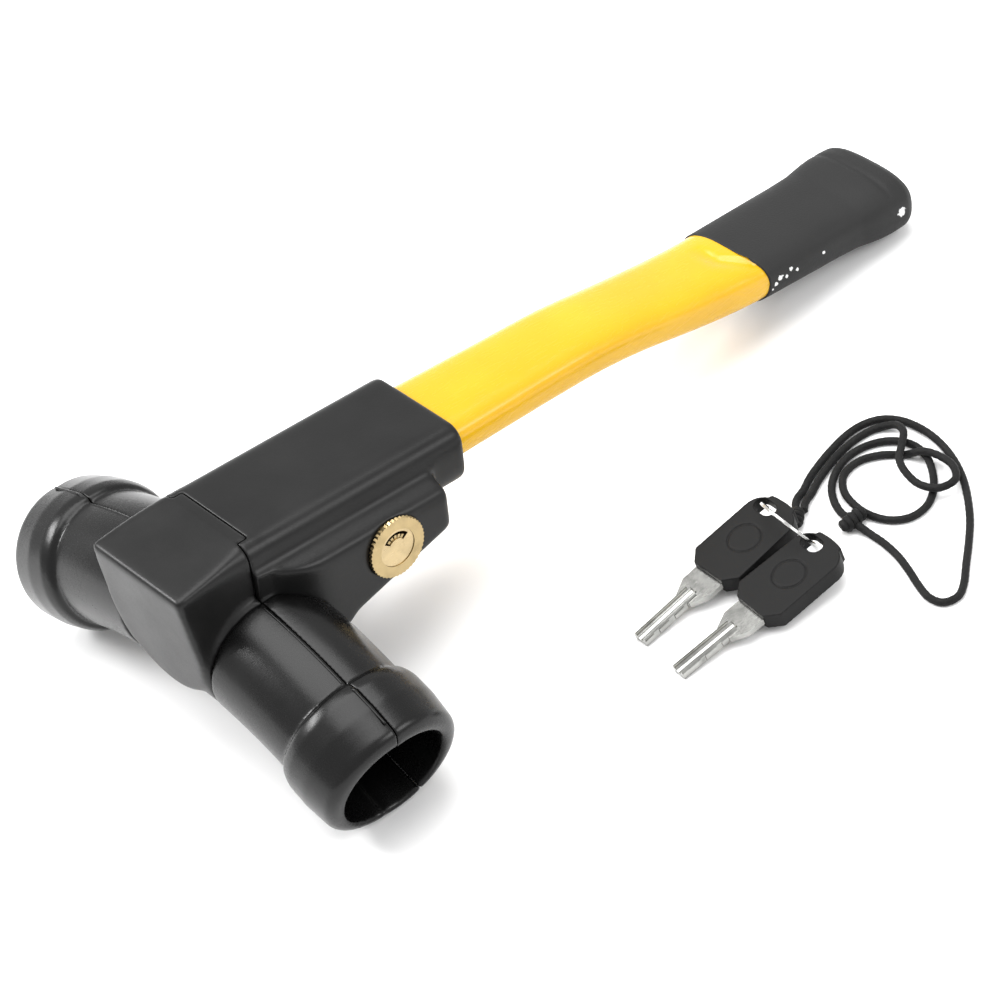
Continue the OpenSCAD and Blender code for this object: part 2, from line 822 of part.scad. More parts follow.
// The lanyard's two strands run from the hitch on the ring to the knot.
// Each point is a place on the floor and the height of the cord's middle over it.
low = cord_d / 2;
over = cord_d * 1.56;
strand_a_route = [
    [90.5, 170.4, 2.5], [88, 172.5, 2.3], [85.9, 175.4, 1.8],
    [84.5, 179.5, low], [82, 185, low], [80, 191.5, low], [78.4, 199, low],
    [77.5, 207, low], [78.3, 214, low], [81.5, 219.8, low], [87, 223.4, low], [94, 224.9, low],
    [102, 224.7, low], [110, 223, low], [118, 220, low], [126, 215.6, low], [133.5, 210, low],
    [141, 203.3, low], [148, 195.5, low], [154.5, 187.5, low], [160, 180.8, low], [162.6, 175.3, low],
    [160.5, 170.4, low], [155, 169.2, low], [148, 171.2, low], [141, 174, low], [133.5, 176.5, low],
    [125.5, 178, low], [118, 178.4, low], [112.5, 178.2, 2.4]];
strand_b_route = [
    [92.7, 172.1, 2.5], [90.6, 174.4, 2.2], [88.9, 177.2, 1.7],
    [88, 180, low], [85.2, 186.5, low], [83.1, 193.5, low], [81.8, 201, low],
    [81.8, 209, low], [83.8, 216, low], [89.2, 220, 3], [95, 218.5, over], [99, 213.6, over],
    [103.6, 207.8, over], [110.5, 204.5, over], [118, 203.4, over], [124.4, 206.2, over],
    [125.9, 212.4, over], [120.6, 216.6, over], [113.4, 217.2, over], [107.2, 215.6, 4.2],
    [101, 212.6, low], [94.4, 207.6, low], [90.2, 200.8, low], [90.8, 193, low], [96.6, 187.4, low],
    [104.6, 184.9, low], [112, 184.8, low], [119.2, 187.2, low], [124, 192.6, low], [124.4, 199.8, low],
    [120.6, 206.6, low], [114.6, 212.2, low], [107.4, 216.4, low], [99.6, 217.6, low],
    [92, 214.4, low], [87.2, 208.2, low], [85.6, 200.6, low], [87.2, 193, low], [91.2, 186.6, low],
    [96.8, 182.2, low], [102.4, 179.8, low], [107.5, 178.7, 2.4]];

function unit(v) = v / norm(v);
function along(route, i) =
    unit(route[min(i + 1, len(route) - 1)] - route[max(i - 1, 0)]);

module strand(route) {
    sides = 8;
    translate([0, 0, floor_z]) polyhedron(
        [for (i = [0:len(route) - 1])
            let (t = along(route, i), side = unit(cross(t, [0, 0, 1])), up = cross(side, t))
            for (p = ring_points(route[i], side, up, cord_d / 2, sides)) p],
        tube_faces(len(route), sides));
}

module lanyard_strand_a() {
    color("#151515") strand(strand_a_route);
}

module lanyard_strand_b() {
    color("#151515") strand(strand_b_route);
}

// A round-ended roll about its middle, lying along Y
module roll(r, len) {
    rod_along_y(-len / 2, len / 2, 0, 0, r);
    for (y = [-len / 2, len / 2]) translate([0, y, 0]) sphere(r = r);
}

hitch_r = 2.5;
knot_r = 3;

module lanyard_hitch() {
    color("#151515") difference() {
        translate([93.5, 168, floor_z + hitch_r + 0.1]) rotate([0, 0, 38]) roll(hitch_r, 7.5);
        ring_solid(ring_wire_r + run_clear);
    }
}

module lanyard_knot() {
    color("#151515") translate([110, 178.5, floor_z + knot_r + 0.1]) roll(knot_r, 6);
}

// Assembly -----------------------------------------------------------------

body_shell();
rear_arm_left();
rear_arm_right();
rim_pad_rear();
rod_bushes();
lock_barrel();
barrel_screw();
bolt_cap();
handle_shell();
core_bar();
handle_screws();
rubber_grip();
jaw_block();
front_arm_left();
front_arm_right();
arm_lip_left();
arm_lip_right();
rim_pad_front();
slide_rod_left();
slide_rod_right();
rod_pins();
tie_plate();
tie_screws();
lock_plug();
lock_wafers();
plug_cam();
locking_bolt();
bolt_spring();
key_ring();
lanyard_strand_a();
lanyard_strand_b();
lanyard_hitch();
lanyard_knot();
key_1_head();
key_1_blade();
key_2_head();
key_2_blade();
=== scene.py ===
"""Looks of a T-headed steering wheel lock, with two keys on a looped lanyard beside it."""

import json
import math

import bmesh
import bpy
import numpy as np
from mathutils import Matrix, Vector


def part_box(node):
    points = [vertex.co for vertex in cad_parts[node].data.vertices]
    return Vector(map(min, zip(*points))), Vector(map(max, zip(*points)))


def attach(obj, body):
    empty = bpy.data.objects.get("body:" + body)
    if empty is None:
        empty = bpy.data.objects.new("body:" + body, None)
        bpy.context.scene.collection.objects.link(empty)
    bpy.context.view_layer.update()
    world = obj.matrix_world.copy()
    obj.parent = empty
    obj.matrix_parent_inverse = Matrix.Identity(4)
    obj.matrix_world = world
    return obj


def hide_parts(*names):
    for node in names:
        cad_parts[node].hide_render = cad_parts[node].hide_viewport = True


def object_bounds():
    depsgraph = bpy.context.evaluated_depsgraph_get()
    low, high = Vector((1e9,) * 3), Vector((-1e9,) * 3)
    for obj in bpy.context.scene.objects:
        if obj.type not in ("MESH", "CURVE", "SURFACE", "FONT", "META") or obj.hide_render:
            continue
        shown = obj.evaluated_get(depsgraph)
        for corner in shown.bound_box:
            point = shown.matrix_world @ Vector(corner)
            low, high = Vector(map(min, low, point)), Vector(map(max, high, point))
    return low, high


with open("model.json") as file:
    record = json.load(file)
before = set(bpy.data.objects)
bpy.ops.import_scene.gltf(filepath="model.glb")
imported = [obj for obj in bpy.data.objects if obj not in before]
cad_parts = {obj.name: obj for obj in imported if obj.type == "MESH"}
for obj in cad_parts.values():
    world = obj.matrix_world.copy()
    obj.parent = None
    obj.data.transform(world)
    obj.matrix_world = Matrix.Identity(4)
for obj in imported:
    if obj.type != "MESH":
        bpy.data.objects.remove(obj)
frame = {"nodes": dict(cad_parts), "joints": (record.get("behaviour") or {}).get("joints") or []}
nodes = frame["nodes"]
cad_box = [list(corner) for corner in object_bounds()]
scene = bpy.context.scene
scene.view_settings.view_transform = "Standard"

MM = 0.001
joint_axis = {j["name"]: Vector(j["axis"]) for j in frame["joints"]}
deck_up = joint_axis["bolt_lift"].normalized()
handle_way = -joint_axis["jaw_slide"].normalized()
# Turns the lock's own frame (X along the rim, Y along the handle, Z out of the deck) into the
# shared frame, in which the lock lies tipped on its arm ends and its grip
laid = Matrix((Vector((1, 0, 0)), handle_way, deck_up)).transposed().to_4x4()
unlaid = laid.inverted()
floor_z = cad_box[0][2]


# Camera -------------------------------------------------------------------------------------

CAMERA_PLACE = Vector((0.9648, -0.4355, 0.9853))
CAMERA_AZIMUTH = 60.4
CAMERA_ELEVATION = 42.74
CAMERA_ROLL = -17.2
FOCAL_PER_WIDTH = 4.3377


def make_camera():
    azimuth = math.radians(CAMERA_AZIMUTH)
    elevation = math.radians(CAMERA_ELEVATION)
    roll = math.radians(CAMERA_ROLL)
    back = Vector((
        math.sin(azimuth) * math.cos(elevation),
        -math.cos(azimuth) * math.cos(elevation),
        math.sin(elevation)))
    right = Vector((0, 0, 1)).cross(back).normalized()
    up = back.cross(right)
    turned_right = right * math.cos(roll) + up * math.sin(roll)
    turned_up = up * math.cos(roll) - right * math.sin(roll)
    data = bpy.data.cameras.new("camera")
    data.sensor_width = 36
    data.lens = FOCAL_PER_WIDTH * data.sensor_width
    data.clip_start = 0.05
    data.clip_end = 20
    camera = bpy.data.objects.new("camera", data)
    scene.collection.objects.link(camera)
    turn = Matrix((turned_right, turned_up, back)).transposed().to_4x4()
    camera.matrix_world = Matrix.Translation(CAMERA_PLACE) @ turn
    scene.camera = camera


make_camera()


# Mesh helpers -------------------------------------------------------------------------------

def add_mesh(name, vertices, faces, smooth=True):
    mesh = bpy.data.meshes.new(name)
    mesh.from_pydata([tuple(v) for v in vertices], [], faces)
    mesh.validate()
    mesh.update()
    obj = bpy.data.objects.new(name, mesh)
    scene.collection.objects.link(obj)
    if smooth:
        mesh.polygons.foreach_set("use_smooth", [True] * len(mesh.polygons))
    return obj


def grid_faces(rings, sides):
    """Faces of a closed tube whose vertices are rings of equal size, one after another."""
    faces = []
    for i in range(rings - 1):
        for k in range(sides):
            a, b = i * sides + k, i * sides + (k + 1) % sides
            faces.append((a, b, b + sides, a + sides))
    faces.append(tuple(reversed(range(sides))))
    faces.append(tuple(range((rings - 1) * sides, rings * sides)))
    return faces


def set_uv(obj, values):
    """Writes one UV per vertex, so that a pattern can follow the piece."""
    layer = obj.data.uv_layers.new(name="UVMap")
    for loop in obj.data.loops:
        layer.data[loop.index].uv = values[loop.vertex_index]


def finish_piece(obj, body, slot, material, *replaced):
    obj.data.materials.clear()
    obj.data.materials.append(material)
    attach(obj, body)
    if replaced:
        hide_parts(*replaced)
    return obj


def smooth_path(points, step):
    """Even points along a Catmull-Rom curve through the given ones."""
    p = np.array(points, float)
    p = np.vstack([2 * p[0] - p[1], p, 2 * p[-1] - p[-2]])
    dense = []
    for i in range(1, len(p) - 2):
        t = np.linspace(0, 1, 24, endpoint=False)[:, None]
        a, b, c, d = p[i - 1], p[i], p[i + 1], p[i + 2]
        dense.append(0.5 * (2 * b + (c - a) * t + (2 * a - 5 * b + 4 * c - d) * t**2
                            + (3 * b - a - 3 * c + d) * t**3))
    dense = np.vstack([*dense, p[-2][None]])
    run = np.concatenate([[0], np.cumsum(np.linalg.norm(np.diff(dense, axis=0), axis=1))])
    count = max(2, int(round(run[-1] / step)))
    even = np.linspace(0, run[-1], count + 1)
    return np.stack([np.interp(even, run, dense[:, k]) for k in range(3)], axis=1), run[-1]


def path_frames(path):
    """Side and up vectors at each point, carried along without twist."""
    tangent = np.gradient(path, axis=0)
    tangent /= np.linalg.norm(tangent, axis=1)[:, None]
    start = np.array([0, 0, 1.0]) if abs(tangent[0][2]) < 0.9 else np.array([1.0, 0, 0])
    side = np.cross(tangent[0], start)
    side /= np.linalg.norm(side)
    sides = [side]
    for t in tangent[1:]:
        side = side - t * (side @ t)
        side /= np.linalg.norm(side)
        sides.append(side)
    sides = np.array(sides)
    return sides, np.cross(tangent, sides)


def tube(name, path, radius_at, sides):
    """A tube along a path. radius_at(angle, run) gives the radius, with both as arrays."""
    run = np.concatenate([[0], np.cumsum(np.linalg.norm(np.diff(path, axis=0), axis=1))])
    side, up = path_frames(path)
    angle = np.linspace(0, 2 * math.pi, sides, endpoint=False)
    grid_angle, grid_run = np.meshgrid(angle, run)
    radius = radius_at(grid_angle, grid_run)
    vertices = (path[:, None, :]
                + radius[..., None] * (np.cos(grid_angle)[..., None] * side[:, None, :]
                                       + np.sin(grid_angle)[..., None] * up[:, None, :]))
    obj = add_mesh(name, vertices.reshape(-1, 3), grid_faces(len(path), sides))
    set_uv(obj, np.stack([grid_angle.ravel() / (2 * math.pi), grid_run.ravel() / 0.01], axis=1))
    return obj


# Materials ----------------------------------------------------------------------------------

class Nodes:
    """A short way to build a material's nodes."""

    def __init__(self, name):
        self.material = bpy.data.materials.new(name)
        self.material.use_nodes = True
        self.tree = self.material.node_tree
        self.shader = self.tree.nodes["Principled BSDF"]
        self.place = self.tree.nodes.new("ShaderNodeTexCoord").outputs["Object"]

    def link(self, source, target):
        self.tree.links.new(source, target)

    def node(self, kind, **inputs):
        made = self.tree.nodes.new(kind)
        for name, value in inputs.items():
            self.put(made.inputs[name.replace("_", " ")], value)
        return made

    def put(self, socket, value):
        if isinstance(value, bpy.types.NodeSocket):
            self.link(value, socket)
        else:
            socket.default_value = value

    def noise(self, scale, detail, roughness=0.55, vector=None):
        made = self.node("ShaderNodeTexNoise", Scale=scale, Detail=detail, Roughness=roughness)
        self.link(vector or self.place, made.inputs["Vector"])
        return made.outputs["Fac"]

    def cells(self, scale):
        made = self.node("ShaderNodeTexVoronoi", Scale=scale)
        self.link(self.place, made.inputs["Vector"])
        return made.outputs["Distance"]

    def stretch(self, scale):
        made = self.node("ShaderNodeMapping", Scale=scale)
        self.link(self.place, made.inputs["Vector"])
        return made.outputs["Vector"]

    def remap(self, value, low, high, to_low, to_high):
        made = self.tree.nodes.new("ShaderNodeMapRange")
        self.link(value, made.inputs["Value"])
        made.inputs["From Min"].default_value = low
        made.inputs["From Max"].default_value = high
        made.inputs["To Min"].default_value = to_low
        made.inputs["To Max"].default_value = to_high
        return made.outputs["Result"]

    def mix(self, factor, a, b):
        made = self.tree.nodes.new("ShaderNodeMix")
        made.data_type = "RGBA"
        self.put(made.inputs["Factor"], factor)
        self.put(made.inputs["A"], a)
        self.put(made.inputs["B"], b)
        return made.outputs["Result"]

    def maths(self, operation, a, b):
        made = self.tree.nodes.new("ShaderNodeMath")
        made.operation = operation
        self.put(made.inputs[0], a)
        self.put(made.inputs[1], b)
        return made.outputs["Value"]

    def distance_from(self, point):
        made = self.tree.nodes.new("ShaderNodeVectorMath")
        made.operation = "DISTANCE"
        self.link(self.place, made.inputs[0])
        made.inputs[1].default_value = point
        return made.outputs["Value"]

    def bump(self, height, strength, distance, normal=None):
        made = self.node("ShaderNodeBump", Strength=strength, Distance=distance)
        self.link(height, made.inputs["Height"])
        if normal:
            self.link(normal, made.inputs["Normal"])
        return made.outputs["Normal"]

    def set(self, **inputs):
        for name, value in inputs.items():
            self.put(self.shader.inputs[name.replace("_", " ")], value)
        return self.material


def grey(level, warm=0.0):
    return (level * (1 + warm), level, level * (1 - warm), 1)


def coated_metal(name, level, low_rough, high_rough, grain, shine):
    """Powder coat: fine grain, slight orange peel, faint cloudy wear and rare pale specks."""
    n = Nodes(name)
    cloud = n.noise(38, 5)
    fine = n.noise(1500, 3, 0.7)
    peel = n.noise(420, 2)
    speck = n.remap(n.cells(330), 0.02, 0.045, 1, 0)
    rare = n.remap(n.noise(120, 2), 0.66, 0.70, 0, 1)
    base = n.mix(n.remap(cloud, 0.35, 0.7, 0, 1), grey(level * 0.8), grey(level * 1.3, 0.01))
    base = n.mix(n.maths("MULTIPLY", n.maths("MULTIPLY", speck, rare), 0.5), base, grey(0.22))
    rough = n.remap(n.maths("ADD", n.maths("MULTIPLY", cloud, 0.6), n.maths("MULTIPLY", fine, 0.4)),
                    0.35, 0.65, low_rough, high_rough)
    normal = n.bump(peel, 0.35, 0.00006)
    normal = n.bump(fine, grain, 0.00008, normal)
    return n.set(Base_Color=base, Roughness=rough, Normal=normal, Specular_IOR_Level=shine)


def yellow_plastic():
    """Glossy moulding with a soft waviness, fine scuffs and a little dirt in patches."""
    n = Nodes("yellow_plastic")
    cloud = n.noise(30, 4)
    scuff = n.noise(1, 3, 0.6, n.stretch((900, 60, 900)))
    base = n.mix(n.remap(cloud, 0.3, 0.7, 0, 1), (0.52, 0.285, 0.0015, 1), (0.56, 0.32, 0.003, 1))
    base = n.mix(n.remap(scuff, 0.68, 0.8, 0, 0.12), base, (0.38, 0.22, 0.006, 1))
    rough = n.remap(scuff, 0.4, 0.75, 0.2, 0.34)
    wave = n.bump(n.noise(90, 2), 0.25, 0.0003)
    normal = n.bump(scuff, 0.12, 0.00004, wave)
    return n.set(Base_Color=base, Roughness=rough, Normal=normal, Coat_Weight=0.15, Coat_Roughness=0.12,
                 Specular_IOR_Level=0.35)


def soft_rubber(name, level, chips=()):
    """Moulded rubber: pebbled grain, dusty patches, small scuffs, and chips given by place and size."""
    n = Nodes(name)
    cloud = n.noise(55, 5)
    pebble = n.cells(1400)
    scuff = n.noise(1, 4, 0.6, n.stretch((300, 2200, 300)))
    base = n.mix(n.remap(cloud, 0.35, 0.7, 0, 1), grey(level * 0.85), grey(level * 1.3))
    base = n.mix(n.remap(scuff, 0.66, 0.78, 0, 0.35), base, grey(level * 3.2))
    for place, size in chips:
        waver = n.remap(n.noise(900, 3), 0.3, 0.7, -0.4 * size, 0.4 * size)
        ragged = n.maths("ADD", n.distance_from(place), waver)
        base = n.mix(n.remap(ragged, 0.85 * size, size, 1, 0), base, grey(0.62))
    rough = n.remap(cloud, 0.3, 0.7, 0.55, 0.70)
    normal = n.bump(pebble, 0.5, 0.00007)
    normal = n.bump(n.noise(300, 3), 0.3, 0.0001, normal)
    return n.set(Base_Color=base, Roughness=rough, Normal=normal, Specular_IOR_Level=0.3)


def metal(name, colour, low_rough, high_rough, grain=(200, 200, 2600), dirt=0.25):
    """Ground or turned metal: a fine directional grain, stains and small pits."""
    n = Nodes(name)
    lines = n.noise(1, 3, 0.6, n.stretch(grain))
    cloud = n.noise(140, 4)
    dark = tuple(c * 0.55 for c in colour) + (1,)
    base = n.mix(n.remap(cloud, 0.45, 0.75, 0, dirt), colour + (1,), dark)
    rough = n.remap(lines, 0.3, 0.7, low_rough, high_rough)
    normal = n.bump(lines, 0.25, 0.00003)
    normal = n.bump(n.noise(900, 2), 0.15, 0.00003, normal)
    return n.set(Base_Color=base, Roughness=rough, Normal=normal, Metallic=1.0)


def moulded_plastic():
    """Key heads: fine spark-eroded texture with handled, slightly shiny patches."""
    n = Nodes("key_plastic")
    fine = n.noise(2200, 3, 0.7)
    cloud = n.noise(90, 4)
    base = n.mix(n.remap(cloud, 0.3, 0.7, 0, 1), grey(0.003), grey(0.006))
    rough = n.remap(cloud, 0.3, 0.7, 0.48, 0.62)
    return n.set(Base_Color=base, Roughness=rough, Normal=n.bump(fine, 0.5, 0.00006),
                 Specular_IOR_Level=0.17)


def braided_cord():
    """Braided polyester: each strand has its own fine fibres."""
    n = Nodes("braided_cord")
    fibre = n.noise(1, 3, 0.6, n.stretch((3000, 3000, 3000)))
    cloud = n.noise(160, 3)
    base = n.mix(n.remap(fibre, 0.35, 0.7, 0, 1), grey(0.002), grey(0.009))
    rough = n.remap(cloud, 0.3, 0.7, 0.62, 0.8)
    return n.set(Base_Color=base, Roughness=rough, Normal=n.bump(fibre, 0.5, 0.00006),
                 Sheen_Weight=0.05, Sheen_Roughness=0.4, Specular_IOR_Level=0.2)


deck_coat = coated_metal("deck_coat", 0.0045, 0.30, 0.42, 0.35, 0.24)
arm_coat = coated_metal("arm_coat", 0.0014, 0.22, 0.31, 0.22, 0.27)
yellow = yellow_plastic()
# Points on the grip's side where its skin is chipped white, in the lock's own frame, then each size
GRIP_CHIPS = (
    (21.9, 293.6, 22.8, 1.9), (20.2, 257, 23.2, 0.7), (20.1, 244.2, 22.4, 0.8), (20, 234, 21, 0.9),
    (20, 236.2, 22.6, 1.2), (20, 239, 22, 0.7), (20, 241.3, 24, 0.8), (20, 232.6, 19.4, 0.5))
grip_rubber = soft_rubber(
    "grip_rubber", 0.008,
    [(laid @ (Vector((x, y, z)) * MM), size * MM) for x, y, z, size in GRIP_CHIPS])
pad_rubber = soft_rubber("pad_rubber", 0.012)
brass = metal("brass", (0.42, 0.32, 0.165), 0.26, 0.40, dirt=0.55)
plug_brass = metal("plug_brass", (0.50, 0.39, 0.22), 0.24, 0.38, dirt=0.5)
bronze = metal("bronze", (0.55, 0.38, 0.18), 0.35, 0.5)
steel = metal("steel", (0.60, 0.60, 0.60), 0.25, 0.4)
dark_steel = metal("dark_steel", (0.16, 0.16, 0.17), 0.35, 0.5)
nickel = metal("nickel", (0.33, 0.33, 0.315), 0.12, 0.24, grain=(2600, 300, 2600), dirt=0.8)
ring_nickel = metal("ring_nickel", (0.58, 0.58, 0.57), 0.10, 0.2)
key_plastic = moulded_plastic()
cord_black = braided_cord()


# Lanyard ------------------------------------------------------------------------------------

CORD_D = 2.8
LOW = CORD_D / 2
OVER = CORD_D * 1.56
STRAND_A = [
    [90.5, 170.4, 2.5], [88, 172.5, 2.3], [85.9, 175.4, 1.8],
    [84.5, 179.5, LOW], [82, 185, LOW], [80, 191.5, LOW], [78.4, 199, LOW],
    [77.5, 207, LOW], [78.3, 214, LOW], [81.5, 219.8, LOW], [87, 223.4, LOW], [94, 224.9, LOW],
    [102, 224.7, LOW], [110, 223, LOW], [118, 220, LOW], [126, 215.6, LOW], [133.5, 210, LOW],
    [141, 203.3, LOW], [148, 195.5, LOW], [154.5, 187.5, LOW], [160, 180.8, LOW], [162.6, 175.3, LOW],
    [160.5, 170.4, LOW], [155, 169.2, LOW], [148, 171.2, LOW], [141, 174, LOW], [133.5, 176.5, LOW],
    [125.5, 178, LOW], [118, 178.4, LOW], [112.5, 178.2, 2.4]]
STRAND_B = [
    [92.7, 172.1, 2.5], [90.6, 174.4, 2.2], [88.9, 177.2, 1.7],
    [88, 180, LOW], [85.2, 186.5, LOW], [83.1, 193.5, LOW], [81.8, 201, LOW],
    [81.8, 209, LOW], [83.8, 216, LOW], [89.2, 220, 3], [95, 218.5, OVER], [99, 213.6, OVER],
    [103.6, 207.8, OVER], [110.5, 204.5, OVER], [118, 203.4, OVER], [124.4, 206.2, OVER],
    [125.9, 212.4, OVER], [120.6, 216.6, OVER], [113.4, 217.2, OVER], [107.2, 215.6, 4.2],
    [101, 212.6, LOW], [94.4, 207.6, LOW], [90.2, 200.8, LOW], [90.8, 193, LOW], [96.6, 187.4, LOW],
    [104.6, 184.9, LOW], [112, 184.8, LOW], [119.2, 187.2, LOW], [124, 192.6, LOW], [124.4, 199.8, LOW],
    [120.6, 206.6, LOW], [114.6, 212.2, LOW], [107.4, 216.4, LOW], [99.6, 217.6, LOW],
    [92, 214.4, LOW], [87.2, 208.2, LOW], [85.6, 200.6, LOW], [87.2, 193, LOW], [91.2, 186.6, LOW],
    [96.8, 182.2, LOW], [102.4, 179.8, LOW], [107.5, 178.7, 2.4]]
BRAID_STRANDS = 6
BRAID_PITCH = 2.6 * MM
HITCH_TURN = 38
TURN_STEPS = 22


def braid_radius(radius):
    """Radius of a braid: strands cross over and under each other in diamonds."""
    def at(angle, run):
        u = angle * BRAID_STRANDS / (2 * math.pi)
        v = run / BRAID_PITCH
        first, second = u + v, u - v
        even = (np.floor(first) + np.floor(second)) % 2 == 0
        height = np.where(even, np.abs(np.sin(math.pi * first)), np.abs(np.sin(math.pi * second)))
        return radius * (0.88 + 0.12 * height)
    return at


def on_floor(route):
    return [[x * MM, y * MM, floor_z + z * MM] for x, y, z in route]


def wound_path(turns, turn_r, reach):
    """A few touching turns of cord about Y, wider in the middle."""
    t = np.linspace(0, 1, int(turns * TURN_STEPS) + 1)
    swell = turn_r * (0.72 + 0.28 * np.sin(math.pi * t))
    angle = 2 * math.pi * turns * t
    return np.stack([swell * np.cos(angle), (t - 0.5) * reach, swell * np.sin(angle)], axis=1)


def make_wound(name, node, turns, wire_r, turn):
    """A hitch or knot: turns of cord wound round the strands, in the CAD node's box, turned about Z."""
    low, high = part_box(node)
    middle = (low + high) / 2
    outer = (high.z - low.z) / 2
    length = math.hypot(high.x - low.x, high.y - low.y) - 2 * outer * (1 if turn else 0)
    path = wound_path(turns, outer - wire_r, (high.y - low.y if not turn else length) - 2 * wire_r)
    spin = Matrix.Translation(middle) @ Matrix.Rotation(math.radians(turn), 4, "Z")
    path = np.array([spin @ Vector(p) for p in path])
    path, _ = smooth_path(path, 0.00025)
    obj = tube(name, path, braid_radius(wire_r), 20)
    return finish_piece(obj, "key_set", "cord_black", cord_black, node)


def make_lanyard():
    hitch = make_wound("lanyard_hitch_wound", "lanyard_hitch", 3.5, 1.15 * MM, HITCH_TURN)
    knot = make_wound("lanyard_knot_wound", "lanyard_knot", 4.5, 1.25 * MM, 0)
    for name, node, route, pieces in (
            ("lanyard_strand_a_braid", "lanyard_strand_a", STRAND_A, [hitch]),
            ("lanyard_strand_b_braid", "lanyard_strand_b", STRAND_B, [knot])):
        path, length = smooth_path(on_floor(route), 0.0003)
        obj = tube(name, path, braid_radius(CORD_D / 2 * MM), 28)
        finish_piece(obj, "key_set", "cord_black", cord_black, node)


make_lanyard()


# Head ---------------------------------------------------------------------------------------

def relax(mesh, rounds, share):
    """Eases each vertex towards its neighbours' middle, by its own share."""
    count = len(mesh.vertices)
    place = np.empty(count * 3)
    mesh.vertices.foreach_get("co", place)
    place = place.reshape(-1, 3)
    ends = np.empty(len(mesh.edges) * 2, dtype=np.int64)
    mesh.edges.foreach_get("vertices", ends)
    a, b = ends.reshape(-1, 2).T
    near = np.bincount(np.concatenate([a, b]), minlength=count)[:, None]
    pull = 0.5 * share(place)[:, None]
    for _ in range(rounds):
        total = np.stack([np.bincount(a, place[b, k], count) + np.bincount(b, place[a, k], count)
                          for k in range(3)], axis=1)
        place += pull * (total / near - place)
    mesh.vertices.foreach_set("co", place.ravel())


def moulded_copy(name, from_nodes, voxel, rounds, share, turned=True):
    """The shape of some CAD nodes with the soft edges of a casting: remeshed finely, then relaxed."""
    joined = bmesh.new()
    for node in from_nodes:
        mesh = nodes[node].data.copy()
        if turned:
            mesh.transform(unlaid)
        joined.from_mesh(mesh)
        bpy.data.meshes.remove(mesh)
    source = bpy.data.meshes.new(name + "_source")
    joined.to_mesh(source)
    joined.free()
    obj = bpy.data.objects.new(name + "_source", source)
    scene.collection.objects.link(obj)
    remesh = obj.modifiers.new("remesh", "REMESH")
    remesh.mode = "VOXEL"
    remesh.voxel_size = voxel * 1
    bpy.context.view_layer.update()
    graph = bpy.context.evaluated_depsgraph_get()
    made = bpy.data.meshes.new_from_object(obj.evaluated_get(graph))
    bpy.data.objects.remove(obj)
    relax(made, rounds, share)
    if turned:
        made.transform(laid)
    made.name = name
    made.polygons.foreach_set("use_smooth", [True] * len(made.polygons))
    piece = bpy.data.objects.new(name, made)
    scene.collection.objects.link(piece)
    return piece


PART_Y = -3 * MM
TONGUE_END = 1.5 * MM
# Edges beside the parting hardly ease, so that the two halves still meet
EDGE_SHARE = 0.05
CAST_VOXEL = 0.55 * MM
# The walls of the chamber that the tie plate runs in keep their place
CHAMBER_LOW = np.array([-17.6, 13.9, 20.9]) * MM
CHAMBER_HIGH = np.array([17.6, 58.6, 35.1]) * MM


def away_from(value, start, run, least):
    """0 to 1 over a run beyond a start, but never under the least share."""
    return np.clip((value - start) / run, least, 1)


def make_head():
    def body_share(p):
        inside = np.all((p > CHAMBER_LOW) & (p < CHAMBER_HIGH), axis=1)
        return np.where(inside, 0, away_from(p[:, 1], TONGUE_END + 0.5 * MM, 4 * MM, EDGE_SHARE))

    def jaw_share(p):
        return away_from(PART_Y - p[:, 1], 0.8 * MM, 3 * MM, EDGE_SHARE)

    def arm_share(p):
        return away_from(np.abs(p[:, 1] - PART_Y), 0.6 * MM, 1.5 * MM, 0.25)

    for name, body, material, rounds, share, from_nodes in (
            ("body_cast", "lock_body", deck_coat, 40, body_share, ["body_shell"]),
            ("jaw_cast", "sliding_jaw", deck_coat, 34, jaw_share, ["jaw_block"]),
            ("rear_arm_left_cast", "lock_body", arm_coat, 6, arm_share, ["rear_arm_left"]),
            ("rear_arm_right_cast", "lock_body", arm_coat, 6, arm_share, ["rear_arm_right"]),
            ("front_arm_left_cast", "sliding_jaw", arm_coat, 6, arm_share,
             ["front_arm_left", "arm_lip_left"]),
            ("front_arm_right_cast", "sliding_jaw", arm_coat, 6, arm_share,
             ["front_arm_right", "arm_lip_right"])):
        piece = moulded_copy(name, from_nodes, CAST_VOXEL, rounds, share)
        finish_piece(piece, body, "black_coat", material, *from_nodes)


make_head()


# A raised bead runs along each front arm's edge, on the rim's arc and then straight along the flare
RIM_ARC = 190 * MM
TUBE_R = 22.5 * MM
FLARE_R = 25.6 * MM
FLARE_FROM = math.radians(19.2)
FLARE_LENGTH = 20.5 * MM
BEAD_FROM = math.radians(8)
FLARE_STEP = 4.5 * MM
BEAD_R = 0.5 * MM
BEAD_SINK = 0.25 * MM
BEAD_INSET = 0.15 * MM


